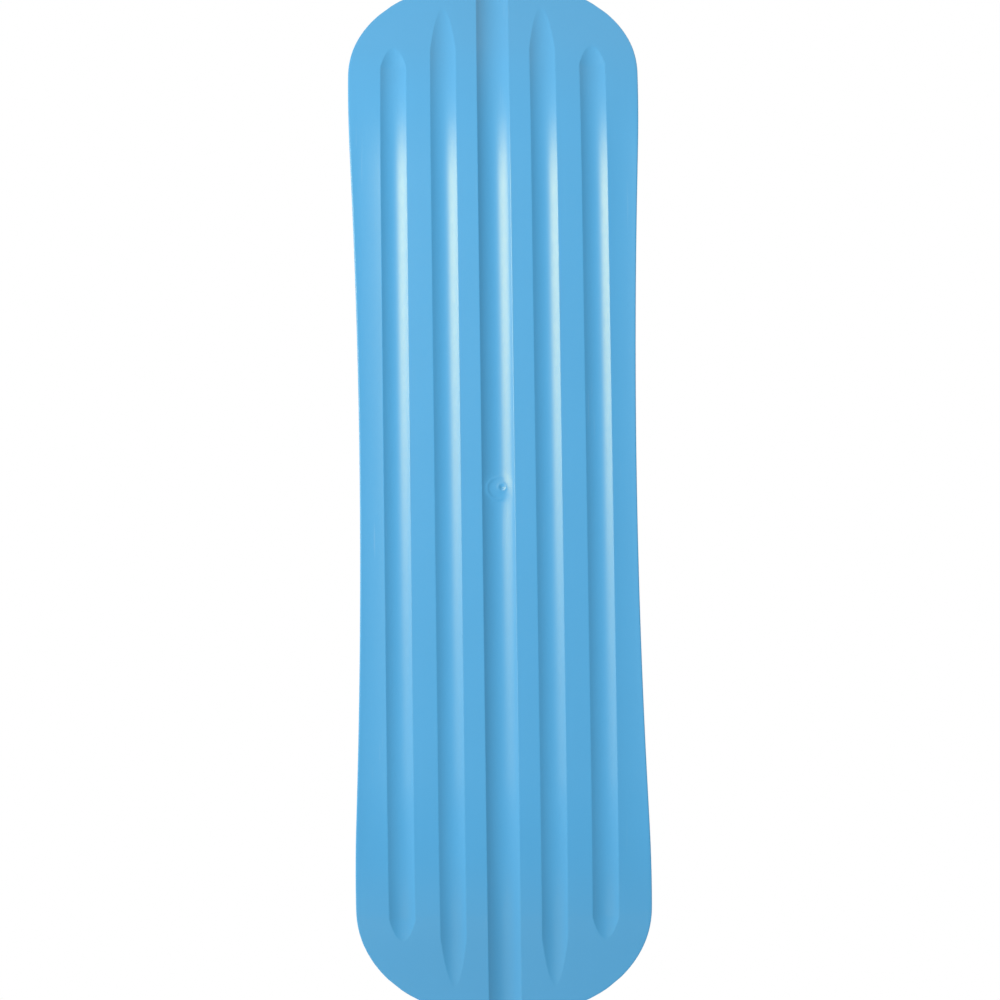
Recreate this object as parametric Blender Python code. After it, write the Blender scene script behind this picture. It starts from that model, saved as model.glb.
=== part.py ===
"""Snowskate: a one-piece moulded board with grip pads stuck on its deck.

The board lies on its running base, nose towards +Y, with the origin under its middle. Each piece is first
made flat, in a blank's coordinates: x across the board, y along it and z up from the base. Then it is pressed
into the shape of the kicks, which keeps every thickness and gap as it was.
"""

import math

import bmesh
import bpy
from mathutils import Matrix, Vector

# Outline of the flat blank, one quarter: the waist, then four arcs that run on from each other to the tip.
HALF_WAIST = 0.093
SIDECUT_RADIUS = 5.5
SIDECUT_END = 0.226
SHOULDER_RADIUS = 1.43
CORNER_RADIUS = 0.082
CORNER_SWEEP = math.radians(66)
SIDECUT_STEPS = 5
SHOULDER_STEPS = 4
CORNER_STEPS = 14
TIP_STEPS = 4

# Both ends rise from the flat base in a long gentle arc, the rocker, then in a tighter arc, the kick, and then
# straight to the tip. Radii are measured at the base.
ROCKER_START = 0.195
ROCKER_RADIUS = 0.300
ROCKER_STEPS = 4
KICK_START = 0.245
KICK_RADIUS = 0.190
KICK_ANGLE = math.radians(30)
KICK_STEPS = 8
ROCKER_ANGLE = (KICK_START - ROCKER_START) / ROCKER_RADIUS
KICK_END = KICK_START + KICK_RADIUS * (KICK_ANGLE - ROCKER_ANGLE)

# Board
BOARD_THICKNESS = 0.008
BASE_EDGE_ROUND = 0.0008
DECK_EDGE_ROUND = 0.002
ROUND_SEGMENTS = 3

# Running grooves, all of one radius across: width, how far along each dies out and how long it takes to do
# so. The centre one would die out past the board's end, so it runs off it.
GROOVE_PITCH = 0.034
GROOVE_RADIUS = 0.018
SIDE_GROOVE_WIDTH = 0.0175
CENTRE_GROOVE_WIDTH = 0.022
OUTER_GROOVE_TIP = 0.308
OUTER_GROOVE_RUN_OUT = 0.016
INNER_GROOVE_TIP = 0.344
INNER_GROOVE_RUN_OUT = 0.038
CENTRE_GROOVE_TIP = 0.415
CENTRE_GROOVE_RUN_OUT = 0.030
PAST_THE_TIP = 0.012
GROOVE_SIDES = 48

# Gate mark in the middle of the centre groove: a low swelling with a small crater beside its middle, left by
# the sprue.
GATE_SWELLING_RADIUS = 0.0095
GATE_SWELLING_HEIGHT = 0.001
GATE_SWELLING_SIDES = 24
GATE_SWELLING_PLACE = (0.0, -0.002)
GATE_CRATER_RADIUS = 0.0016
GATE_CRATER_DEPTH = 0.0005
GATE_CRATER_SIDES = 12
GATE_CRATER_PLACE = (-0.0025, -0.0013)

# Grip pads, their adhesive and the pockets that they lie in.
POCKET_MARGIN = 0.0145
POCKET_INNER_END = 0.0495
POCKET_CORNER = 0.0125
POCKET_DEPTH = 0.001
PAD_CLEARANCE = 0.0005
PAD_THICKNESS = 0.0032
ADHESIVE_INSET = 0.0015
ADHESIVE_THICKNESS = 0.0003
GAP = 0.0003
END_CORNER_STEPS = 6

CUTTER_OVERLAP = 0.004
WELD = 0.00001

BOARD_BLUE = (0.108, 0.426, 0.752, 1.0)
BOARD_ROUGHNESS = 0.38
FOAM_GREY = (0.028, 0.031, 0.036, 1.0)
FOAM_ROUGHNESS = 0.85
ADHESIVE_WHITE = (0.62, 0.60, 0.54, 1.0)
ADHESIVE_ROUGHNESS = 0.6
SMOOTH_UP_TO = math.radians(25)


def clear_scene():
    for item in list(bpy.data.objects):
        bpy.data.objects.remove(item, do_unlink=True)


def new_collection(name):
    collection = bpy.data.collections.new(name)
    bpy.context.scene.collection.children.link(collection)
    return collection


def new_material(name, colour, roughness):
    material = bpy.data.materials.new(name)
    material.use_nodes = True
    shader = material.node_tree.nodes["Principled BSDF"]
    shader.inputs["Base Color"].default_value = colour
    shader.inputs["Roughness"].default_value = roughness
    shader.inputs["Metallic"].default_value = 0.0
    return material


def arc(centre, radius, start, end, steps):
    """Points along an arc, with its angles measured from +x. The first point is left out."""
    angles = [start + (end - start) * step / steps for step in range(1, steps + 1)]
    return [(centre[0] + radius * math.cos(a), centre[1] + radius * math.sin(a)) for a in angles]


def moved_centre(centre, old_radius, new_radius, angle):
    """The centre of the arc that runs on from an arc at this angle with another radius."""
    shift = old_radius - new_radius
    return (centre[0] + shift * math.cos(angle), centre[1] + shift * math.sin(angle))


def quarter_outline(margin, start):
    """The outline inside the edge by the margin, in the quarter at +x and +y, from y = start on."""
    waist_centre = (HALF_WAIST + SIDECUT_RADIUS, 0.0)
    waist_radius = SIDECUT_RADIUS + margin
    start_angle = math.pi - math.asin(start / waist_radius)
    end_angle = math.pi - math.asin(SIDECUT_END / SIDECUT_RADIUS)
    points = arc(waist_centre, waist_radius, start_angle, start_angle, 1)
    points += arc(waist_centre, waist_radius, start_angle, end_angle, SIDECUT_STEPS)

    # The sidecut bends the other way, so the shoulder's centre is one shoulder radius past its arc.
    shoulder_start = end_angle - math.pi
    shoulder_centre = moved_centre(waist_centre, -SIDECUT_RADIUS, SHOULDER_RADIUS, shoulder_start)
    points += arc(shoulder_centre, SHOULDER_RADIUS - margin, shoulder_start, 0.0, SHOULDER_STEPS)

    corner_centre = moved_centre(shoulder_centre, SHOULDER_RADIUS, CORNER_RADIUS, 0.0)
    points += arc(corner_centre, CORNER_RADIUS - margin, 0.0, CORNER_SWEEP, CORNER_STEPS)

    tip_radius = CORNER_RADIUS + corner_centre[0] / math.cos(CORNER_SWEEP)
    tip_centre = moved_centre(corner_centre, CORNER_RADIUS, tip_radius, CORNER_SWEEP)
    points += arc(tip_centre, tip_radius - margin, CORNER_SWEEP, math.pi / 2, TIP_STEPS)
    return points


def board_outline():
    quarter = quarter_outline(0.0, 0.0)
    right = [(x, -y) for x, y in reversed(quarter[1:])] + quarter
    left = [(-x, y) for x, y in reversed(right[1:-1])]
    return right + left


def pad_outline(inset):
    """The outline of a pad or pocket: along the board's edge, with two round corners at the inner end."""
    margin = POCKET_MARGIN + inset
    inner_end = POCKET_INNER_END + inset
    corner = POCKET_CORNER - inset
    right = quarter_outline(margin, inner_end + corner)
    corner_centre = (right[0][0] - corner, inner_end + corner)
    right = arc(corner_centre, corner, -math.pi / 2, 0.0, END_CORNER_STEPS)[:-1] + right
    right.insert(0, (corner_centre[0], inner_end))
    left = [(-x, y) for x, y in reversed(right[:-1])]
    return right + left


def pressed(point):
    """Where a point of the flat blank lies once the kicks are formed."""
    run = abs(point.y)
    rocker = min(max(run - ROCKER_START, 0.0) / ROCKER_RADIUS, ROCKER_ANGLE)
    angle = rocker + min(max(run - KICK_START, 0.0) / KICK_RADIUS, KICK_ANGLE - ROCKER_ANGLE)
    straight = max(run - KICK_END, 0.0)
    along = min(run, ROCKER_START) + ROCKER_RADIUS * math.sin(rocker)
    along += KICK_RADIUS * (math.sin(angle) - math.sin(rocker)) + straight * math.cos(angle)
    height = ROCKER_RADIUS * (1 - math.cos(rocker))
    height += KICK_RADIUS * (math.cos(rocker) - math.cos(angle)) + straight * math.sin(angle)
    along -= point.z * math.sin(angle)
    height += point.z * math.cos(angle)
    return Vector((point.x, math.copysign(along, point.y), height))


def press_into_shape(mesh):
    """Scores the flat piece across at even steps of each end's two arcs, then lifts its ends."""
    work = bmesh.new()
    work.from_mesh(mesh)
    runs = [ROCKER_START + (KICK_START - ROCKER_START) * step / ROCKER_STEPS for step in range(ROCKER_STEPS)]
    runs += [KICK_START + (KICK_END - KICK_START) * step / KICK_STEPS for step in range(KICK_STEPS + 1)]
    for run in runs:
        for side in (-1, 1):
            everything = work.verts[:] + work.edges[:] + work.faces[:]
            bmesh.ops.bisect_plane(
                work,
                geom=everything,
                dist=WELD,
                plane_co=(0.0, side * run, 0.0),
                plane_no=(0.0, 1.0, 0.0),
            )
    bmesh.ops.triangulate(work, faces=work.faces[:])
    for vertex in work.verts:
        vertex.co = pressed(vertex.co)
    work.to_mesh(mesh)
    work.free()


def mesh_from(item, name):
    """A welded mesh of what the object shows, in place of a curve or of live modifiers."""
    bpy.context.view_layer.update()
    graph = bpy.context.evaluated_depsgraph_get()
    mesh = bpy.data.meshes.new_from_object(item.evaluated_get(graph))
    mesh.name = name
    mesh.transform(item.matrix_world)
    work = bmesh.new()
    work.from_mesh(mesh)
    bmesh.ops.remove_doubles(work, verts=work.verts[:], dist=WELD)
    bmesh.ops.recalc_face_normals(work, faces=work.faces[:])
    work.to_mesh(mesh)
    work.free()
    return mesh


def new_object(name, mesh, collection):
    item = bpy.data.objects.new(name, mesh)
    collection.objects.link(item)
    return item


def replace_curve(item, collection):
    """Turns a curve object into a mesh object of the same name."""
    name = item.name
    mesh = mesh_from(item, name)
    bpy.data.objects.remove(item, do_unlink=True)
    return new_object(name, mesh, collection)


def plate(name, outline, low, high, collection, low_round=0.0, high_round=0.0):
    """A flat plate with this outline, from one height to the other, with its lower and upper edges rounded."""
    work = bmesh.new()
    base = work.faces.new([work.verts.new((x, y, low)) for x, y in outline])
    raised = bmesh.ops.extrude_face_region(work, geom=[base])["geom"]
    top = [item for item in raised if isinstance(item, bmesh.types.BMVert)]
    bmesh.ops.translate(work, verts=top, vec=(0.0, 0.0, high - low))
    bmesh.ops.recalc_face_normals(work, faces=work.faces[:])
    for height, radius in ((low, low_round), (high, high_round)):
        if radius:
            round_edges(work, height, radius)
    mesh = bpy.data.meshes.new(name)
    work.to_mesh(mesh)
    work.free()
    return new_object(name, mesh, collection)


def round_edges(work, height, radius):
    """Rounds the edges of a plate that lie at this height."""
    edges = [edge for edge in work.edges if all(abs(corner.co.z - height) < WELD for corner in edge.verts)]
    bmesh.ops.bevel(
        work,
        geom=edges,
        offset=radius,
        offset_type="OFFSET",
        segments=ROUND_SEGMENTS,
        profile=0.5,
        affect="EDGES",
        clamp_overlap=False,
    )


def groove_depth(width):
    """How deep the round bar cuts to make a groove this wide."""
    return GROOVE_RADIUS - math.sqrt(GROOVE_RADIUS ** 2 - (width / 2) ** 2)


def groove_cutter(name, x, width, tip, run_out, collection):
    """A long round bar under the base that dips away at both ends, so that its cut narrows to a point."""
    depth = groove_depth(width)
    middle = depth - GROOVE_RADIUS
    past_the_tip = -GROOVE_RADIUS - PAST_THE_TIP * depth / run_out
    path = [
        (-tip - PAST_THE_TIP, past_the_tip),
        (run_out - tip, middle),
        (tip - run_out, middle),
        (tip + PAST_THE_TIP, past_the_tip),
    ]
    curve = bpy.data.curves.new(name, "CURVE")
    curve.dimensions = "3D"
    curve.bevel_depth = GROOVE_RADIUS
    curve.bevel_resolution = GROOVE_SIDES // 2 - 2
    curve.use_fill_caps = True
    spline = curve.splines.new("POLY")
    spline.points.add(len(path) - 1)
    for point, (y, z) in zip(spline.points, path):
        point.co = (0.0, y, z, 1.0)
    item = bpy.data.objects.new(name, curve)
    item.location.x = x
    collection.objects.link(item)
    return as_cutter(replace_curve(item, collection))


def as_cutter(item):
    item.hide_render = True
    item.display_type = "WIRE"
    return item


def groove_cutters(collection):
    made = [
        groove_cutter(
            "centre_groove",
            0.0,
            CENTRE_GROOVE_WIDTH,
            CENTRE_GROOVE_TIP,
            CENTRE_GROOVE_RUN_OUT,
            collection,
        )
    ]
    for side, word in ((-1, "left"), (1, "right")):
        for rank, tip, run_out in (
            (1, INNER_GROOVE_TIP, INNER_GROOVE_RUN_OUT),
            (2, OUTER_GROOVE_TIP, OUTER_GROOVE_RUN_OUT),
        ):
            name = word + "_groove_" + str(rank)
            x = side * rank * GROOVE_PITCH
            made.append(
                groove_cutter(name, x, SIDE_GROOVE_WIDTH, tip, run_out, collection)
            )
    return made


def adopt(item, name, collection):
    """Names a new primitive and moves it to the collection."""
    item.name = name
    for holder in list(item.users_collection):
        holder.objects.unlink(item)
    collection.objects.link(item)
    return as_cutter(item)


def gate_swelling(collection):
    """A flattened sphere, half of it in the plastic over the groove and half hanging into the groove."""
    bpy.ops.mesh.primitive_uv_sphere_add(
        segments=GATE_SWELLING_SIDES,
        ring_count=GATE_SWELLING_SIDES // 2,
        radius=1.0,
    )
    item = adopt(bpy.context.active_object, "gate_swelling", collection)
    size = Vector((GATE_SWELLING_RADIUS, GATE_SWELLING_RADIUS, GATE_SWELLING_HEIGHT))
    item.data.transform(Matrix.Diagonal(size.to_4d()))
    item.location = (*GATE_SWELLING_PLACE, groove_depth(CENTRE_GROOVE_WIDTH))
    return item


def gate_crater(collection):
    top = groove_depth(CENTRE_GROOVE_WIDTH) - GATE_SWELLING_HEIGHT + GATE_CRATER_DEPTH
    bpy.ops.mesh.primitive_cylinder_add(
        vertices=GATE_CRATER_SIDES,
        radius=GATE_CRATER_RADIUS,
        depth=top + CUTTER_OVERLAP,
        location=(*GATE_CRATER_PLACE, (top - CUTTER_OVERLAP) / 2),
    )
    return adopt(bpy.context.active_object, "gate_crater", collection)


def pocket_cutters(collection):
    """The nose's pocket and, turned half round, the tail's."""
    floor = BOARD_THICKNESS - POCKET_DEPTH
    nose = plate("nose_pocket", pad_outline(0.0), floor, BOARD_THICKNESS + CUTTER_OVERLAP, collection)
    tail = new_object("tail_pocket", nose.data, collection)
    tail.rotation_euler.z = math.pi
    return [as_cutter(nose), as_cutter(tail)]


def add_boolean(item, other, operation):
    modifier = item.modifiers.new(other.name, "BOOLEAN")
    modifier.operation = operation
    modifier.solver = "EXACT"
    modifier.object = other


def make_deck(parts, cutters, material):
    outline = board_outline()
    blank = plate("deck_blank", outline, 0.0, BOARD_THICKNESS, cutters, BASE_EDGE_ROUND, DECK_EDGE_ROUND)
    for cutter in groove_cutters(cutters):
        add_boolean(blank, cutter, "DIFFERENCE")
    add_boolean(blank, gate_swelling(cutters), "UNION")
    for cutter in [gate_crater(cutters)] + pocket_cutters(cutters):
        add_boolean(blank, cutter, "DIFFERENCE")
    mesh = mesh_from(blank, "deck")
    bpy.data.objects.remove(blank, do_unlink=True)
    press_into_shape(mesh)
    return finish(new_object("deck", mesh, parts), material)


def make_layer(name, inset, low, thickness, parts, material):
    """A pad or its adhesive, at the nose, and the same mesh turned half round at the tail."""
    nose = plate("nose_" + name, pad_outline(inset), low, low + thickness, parts)
    press_into_shape(nose.data)
    finish(nose, material)
    tail = new_object("tail_" + name, nose.data, parts)
    tail.rotation_euler.z = math.pi
    return [nose, tail]


def finish(item, material):
    """Gives the piece its material, and smooth shading between its edges."""
    item.data.materials.clear()
    item.data.materials.append(material)
    item.data.shade_smooth()
    item.data.set_sharp_from_angle(angle=SMOOTH_UP_TO)
    return item


def main():
    clear_scene()
    parts = new_collection("snowskate")
    cutters = new_collection("cutters")
    board = new_material("board_plastic", BOARD_BLUE, BOARD_ROUGHNESS)
    foam = new_material("pad_foam", FOAM_GREY, FOAM_ROUGHNESS)
    film = new_material("adhesive_film", ADHESIVE_WHITE, ADHESIVE_ROUGHNESS)

    pieces = [make_deck(parts, cutters, board)]
    adhesive_low = BOARD_THICKNESS - POCKET_DEPTH + GAP
    pad_low = adhesive_low + ADHESIVE_THICKNESS + GAP
    pieces += make_layer("pad_adhesive", ADHESIVE_INSET, adhesive_low, ADHESIVE_THICKNESS, parts, film)
    pieces += make_layer("grip_pad", PAD_CLEARANCE, pad_low, PAD_THICKNESS, parts, foam)

    board_frame = bpy.data.objects.new("snowskate_frame", None)
    parts.objects.link(board_frame)
    for piece in pieces:
        piece.parent = board_frame


main()
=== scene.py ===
"""Snowskate: the finished look of a one-piece moulded board with foam grip pads on its deck.

The board lies on its running base with its nose towards +Y. Each new piece starts as a flat blank: x across
the board, y along it and z up from the base. The tree of the kicks presses it into shape and leaves the
blank's own coordinates on its points, so that grain and scuffs follow the bent surface.
"""

import math

import bmesh
import bpy
from bpy.props import FloatProperty, FloatVectorProperty, IntProperty, PointerProperty
from mathutils import Matrix, Vector


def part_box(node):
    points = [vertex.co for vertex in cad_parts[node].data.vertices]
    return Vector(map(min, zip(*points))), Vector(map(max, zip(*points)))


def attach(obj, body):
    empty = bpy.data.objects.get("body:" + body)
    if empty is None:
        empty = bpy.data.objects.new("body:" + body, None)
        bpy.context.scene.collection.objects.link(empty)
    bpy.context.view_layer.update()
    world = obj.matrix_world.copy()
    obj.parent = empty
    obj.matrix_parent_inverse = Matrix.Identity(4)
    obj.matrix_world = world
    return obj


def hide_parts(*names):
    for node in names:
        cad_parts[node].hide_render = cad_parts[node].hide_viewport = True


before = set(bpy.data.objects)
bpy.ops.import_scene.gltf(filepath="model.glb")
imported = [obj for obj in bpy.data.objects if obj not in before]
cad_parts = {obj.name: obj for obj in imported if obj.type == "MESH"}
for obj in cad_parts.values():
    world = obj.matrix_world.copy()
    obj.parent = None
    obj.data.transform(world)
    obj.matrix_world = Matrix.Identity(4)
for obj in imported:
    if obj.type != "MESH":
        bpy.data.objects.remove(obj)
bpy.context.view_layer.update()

bl_info = {
    "name": "Snowskate",
    "version": (1, 0, 0),
    "blender": (4, 5, 0),
    "location": "3D View > Sidebar > Snowskate",
    "description": "Makes a moulded snowskate with running grooves and diamond-cut grip pads",
    "category": "Add Mesh",
}

BODY = "root"
WELD = 1e-6
SIZE_SLACK = 0.0004


# Sizes and colours

def length(name, description, default):
    return FloatProperty(name=name, description=description, default=default, unit="LENGTH", precision=5)


def angle(name, description, degrees):
    return FloatProperty(name=name, description=description, default=math.radians(degrees), subtype="ANGLE")


def colour(name, description, default):
    return FloatVectorProperty(name=name, description=description, default=default, size=3, subtype="COLOR")


def spot(name, description, default):
    return FloatVectorProperty(
        name=name, description=description, default=default, unit="LENGTH", subtype="XYZ"
    )


class BoardSizes(bpy.types.PropertyGroup):
    """The outline of the flat blank, its thickness and rim, and the kicks."""

    half_waist: length("Half Waist", "Half the width at the middle", 0.093)
    sidecut_radius: length("Sidecut Radius", "Radius of the hollow sides", 5.5)
    sidecut_end: length("Sidecut End", "Where the sidecut ends", 0.226)
    shoulder_radius: length("Shoulder Radius", "Radius at the widest places", 1.43)
    corner_radius: length("Corner Radius", "Radius of the round corners", 0.082)
    corner_sweep: angle("Corner Sweep", "How far each corner turns before the tip", 66.0)
    thickness: length("Thickness", "From the running base to the deck", 0.008)
    base_round: length("Base Round", "Radius of the rim's edge along the base", 0.0008)
    deck_round: length("Deck Round", "Radius of the rim's edge along the deck", 0.002)
    parting_line: length("Parting Line", "Depth of the mould's line round the rim", 0.00012)
    rocker_start: length("Rocker Start", "Where the ends start to rise gently", 0.195)
    rocker_radius: length("Rocker Radius", "Radius of the bend before each kick, at the base", 0.300)
    kick_start: length("Kick Start", "Where the tighter bend of each end starts", 0.245)
    kick_radius: length("Kick Radius", "Radius of each kick's bend, at the base", 0.190)
    kick_angle: angle("Kick Angle", "How steeply each end rises", 30.0)


class GrooveSizes(bpy.types.PropertyGroup):
    """The running grooves in the base, and the gate mark in the middle one."""

    pitch: length("Pitch", "From one groove's middle to the next", 0.034)
    radius: length("Radius", "Radius across every groove", 0.018)
    side_width: length("Side Width", "Width of the four side grooves", 0.0175)
    centre_width: length("Centre Width", "Width of the centre groove", 0.022)
    lip: length("Lip", "How soft a groove's edge is", 0.00022)
    outer_tip: length("Outer Tip", "Where the outer grooves die out", 0.308)
    outer_run_out: length("Outer Run Out", "How long the outer grooves take", 0.016)
    inner_tip: length("Inner Tip", "Where the inner grooves die out", 0.344)
    inner_run_out: length("Inner Run Out", "How long the inner grooves take", 0.038)
    centre_tip: length("Centre Tip", "Where the centre groove would die out", 0.415)
    centre_run_out: length("Centre Run Out", "How long the centre groove would take", 0.030)
    swelling_radius: length("Gate Swelling Radius", "Spread of the swelling round the gate", 0.0046)
    swelling_height: length("Gate Swelling Height", "Height of the swelling round the gate", 0.00105)
    crater_radius: length("Gate Crater Radius", "Radius of the sprue's crater", 0.0021)
    crater_depth: length("Gate Crater Depth", "Depth of the sprue's crater", 0.0007)
    swelling_place: spot("Gate Swelling Place", "Middle of the swelling round the gate", (0.0, -0.002, 0.0))
    crater_place: spot("Gate Crater Place", "Middle of the sprue's crater", (-0.0025, -0.0013, 0.0))
    rail_hollow: length("Rail Hollow", "Radius across the hollow in each outer land", 0.110)
    rail_fade_start: length("Rail Fade Start", "Where the hollows start to fade out", 0.215)
    rail_fade_end: length("Rail Fade End", "Where the hollows have faded out", 0.285)
    waviness: length("Waviness", "Depth of the faint lengthwise waves in the base", 0.00007)


class PadSizes(bpy.types.PropertyGroup):
    """The pockets in the deck and the foam pads that lie in them."""

    margin: length("Margin", "From the board's edge to a pocket", 0.0145)
    inner_end: length("Inner End", "From the board's middle to a pocket", 0.0495)
    corner: length("Corner", "Radius of a pocket's inner corners", 0.0125)
    pocket_depth: length("Pocket Depth", "Depth of a pocket below the deck", 0.001)
    clearance: length("Clearance", "Gap between a pad and its pocket's wall", 0.0005)
    bottom: length("Bottom", "Height of a pad's underside in the flat blank", 0.0079)
    thickness: length("Foam Thickness", "Thickness of the foam", 0.0032)
    edge_round: length("Edge Round", "Radius of the foam's upper edge", 0.0011)
    border: length("Border", "Width of the border round the cuts", 0.0072)
    cut_pitch: length("Cut Pitch", "From one cut to the next, square across", 0.0092)
    cut_angle: angle("Cut Angle", "How far the cuts turn from the board's length", 33.0)
    cut_depth: length("Cut Depth", "Depth of the diamond cuts", 0.0014)
    cut_share: FloatProperty(
        name="Cut Share",
        description="Half of a cut's width as a share of the pitch",
        default=0.15,
        subtype="FACTOR",
        min=0.05,
        max=0.3,
    )
    cells: IntProperty(name="Cells", description="Diamonds along the uncut sheet", default=38, min=4)


class Finishes(bpy.types.PropertyGroup):
    """Colours of the moulding, the foam, the adhesive and the floor."""

    board: colour("Board Blue", "Polyethylene of the board", (0.071, 0.392, 0.735))
    foam: colour("Foam Grey", "Closed-cell foam of the pads", (0.036, 0.039, 0.044))
    film: colour("Adhesive White", "Adhesive sheet under the pads", (0.62, 0.60, 0.54))
    floor: colour("Floor", "Plain floor under the board", (0.93, 0.93, 0.93))


def sizes():
    scene = bpy.context.scene
    return scene.snowskate_board, scene.snowskate_grooves, scene.snowskate_pads


def finishes():
    return bpy.context.scene.snowskate_finishes


def settings_of(group):
    """A group's own properties, without those that every group has."""
    return [item for item in group.bl_rna.properties if item.identifier not in ("rna_type", "name")]


def named(group):
    """A group's values by the names that the panel shows, which the trees' sockets share."""
    return {item.name: getattr(group, item.identifier) for item in settings_of(group)}


# Node trees

class Wire:
    """What a node puts out. Arithmetic written with wires becomes Math nodes in their tree."""

    def __init__(self, socket):
        self.socket = socket
        self.tree = socket.id_data

    def math(self, operation, *others):
        return wire(self.tree, "ShaderNodeMath", dict(enumerate((self, *others))), operation=operation)

    def __add__(self, other):
        return self.math("ADD", other)

    def __sub__(self, other):
        return self.math("SUBTRACT", other)

    def __rsub__(self, other):
        return wire(self.tree, "ShaderNodeMath", {0: other, 1: self}, operation="SUBTRACT")

    def __mul__(self, other):
        return self.math("MULTIPLY", other)

    def __truediv__(self, other):
        return self.math("DIVIDE", other)


def add(tree, kind, feeds=None, **settings):
    """A new node with its settings. An input is fed by a wire, by a list of wires or by a plain value."""
    made = tree.nodes.new(kind)
    for name, value in settings.items():
        setattr(made, name, value)
    for socket, value in (feeds or {}).items():
        for each in value if isinstance(value, list) else [value]:
            if isinstance(each, Wire):
                tree.links.new(each.socket, made.inputs[socket])
            else:
                made.inputs[socket].default_value = each
    return made


def wires(tree, kind, feeds=None, **settings):
    """All that a new node puts out, by name."""
    return {socket.name: Wire(socket) for socket in add(tree, kind, feeds, **settings).outputs}


def wire(tree, kind, feeds=None, output=0, **settings):
    """One of the outputs of a new node."""
    return Wire(add(tree, kind, feeds, **settings).outputs[output])


def apart(vector):
    """The x, y and z of a vector."""
    return list(wires(vector.tree, "ShaderNodeSeparateXYZ", {0: vector}).values())


def together(tree, x, y, z):
    return wire(tree, "ShaderNodeCombineXYZ", {0: x, 1: y, 2: z})


def moved(tree, geometry, x, y, z):
    """The geometry with its points in new places."""
    feeds = {"Geometry": geometry, "Position": together(tree, x, y, z)}
    return wire(tree, "GeometryNodeSetPosition", feeds)


def scaled(vector, scale):
    """A vector with each of its parts multiplied by its own number."""
    return wire(vector.tree, "ShaderNodeVectorMath", {0: vector, 1: scale}, operation="MULTIPLY")


def mixed(share, first, second):
    """Two colours mixed by a share from 0, the first, to 1, the second."""
    feeds = {"Factor": share, 6: first, 7: second}
    return wire(share.tree, "ShaderNodeMix", feeds, output=2, data_type="RGBA")


def ranged(value, low, high, new_low=0.0, new_high=1.0, smooth=False):
    """A value carried from one range to another and held at its ends."""
    feeds = {"Value": value, "From Min": low, "From Max": high, "To Min": new_low, "To Max": new_high}
    kind = "SMOOTHSTEP" if smooth else "LINEAR"
    return wire(value.tree, "ShaderNodeMapRange", feeds, interpolation_type=kind)


def noise(place, scale, detail=2.0, roughness=0.5):
    feeds = {"Vector": place, "Scale": scale, "Detail": detail, "Roughness": roughness}
    return wire(place.tree, "ShaderNodeTexNoise", feeds)


def bell(value):
    """A bell curve: 1 at 0, falling away on both sides."""
    return (value * value * -0.5).math("EXPONENT")


def floats(*names):
    return dict.fromkeys(names, "Float")


def sockets_of(group):
    """A socket for each of a group's values."""
    return {item.name: "Vector" if item.is_array else "Float" for item in settings_of(group)}


def new_tree(name, kind, inputs, outputs):
    """A node tree with named sockets of the given kinds, the wires of its inputs, and its end."""
    tree = bpy.data.node_groups.new(name, kind)
    for in_out, sockets in (("INPUT", inputs), ("OUTPUT", outputs)):
        for socket, socket_kind in sockets.items():
            tree.interface.new_socket(socket, in_out=in_out, socket_type="NodeSocket" + socket_kind)
    return tree, wires(tree, "NodeGroupInput"), add(tree, "NodeGroupOutput").inputs


def shape_tree(name, inputs):
    """A geometry tree that reshapes a mesh and gives it a material."""
    inputs = {"Geometry": "Geometry", **inputs, "Material": "Material"}
    return new_tree(name, "GeometryNodeTree", inputs, {"Geometry": "Geometry"})


def end_tree(tree, geometry, given, result):
    """Ends a geometry tree: real instances, with the material that it was given."""
    real = wire(tree, "GeometryNodeRealizeInstances", {"Geometry": geometry})
    painted = wire(tree, "GeometryNodeSetMaterial", {"Geometry": real, "Material": given["Material"]})
    tree.links.new(painted.socket, result["Geometry"])
    tree.is_modifier = True
    return tree


RUN_OUT_SOFTNESS = 0.1
WITHIN_BAR = 0.99


def groove_tree():
    """How high one groove lifts the base at each point: a round bar's cut that dies out at a tip."""
    inputs = {"Position": "Vector", **floats("Height", "Offset", "Width", "Radius", "Tip", "Run Out", "Lip")}
    tree, given, result = new_tree("running_groove", "GeometryNodeTree", inputs, floats("Height"))
    x, y, _ = apart(given["Position"])
    radius = given["Radius"]
    square = radius.math("POWER", 2.0)
    depth = radius - (square - (given["Width"] * 0.5).math("POWER", 2.0)).math("SQRT")
    left = (given["Tip"] - y.math("ABSOLUTE")) / given["Run Out"]
    fade = left.math("SMOOTH_MIN", 1.0, RUN_OUT_SOFTNESS)
    across = (x - given["Offset"]).math("ABSOLUTE").math("MINIMUM", radius * WITHIN_BAR)
    top = (square - across * across).math("SQRT") - radius + depth * fade
    lifted = given["Height"].math("SMOOTH_MAX", top, given["Lip"])
    tree.links.new(lifted.socket, result["Height"])
    return tree


BASE_BELOW = 0.006
WAVE_SCALE = (70.0, 5.0, 0.0)
GATE_FADE = (0.36, 0.47)
GATE_RING_PLACE = 1.6
GATE_RING_WIDTH = 0.13
GATE_RING_HEIGHT = 0.00024
GATE_RING_FADE = (-0.005, 0.002)
GATE_TEAR_HEIGHT = 0.0010
GATE_TEAR_SCALE = 900.0
GATE_TEAR_FADE = (0.5, 1.0)
CRATER_LIP_PLACE = 1.25
CRATER_LIP_WIDTH = 0.25
CRATER_LIP_HEIGHT = 0.00012
LAND_EDGE = 0.003


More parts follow.
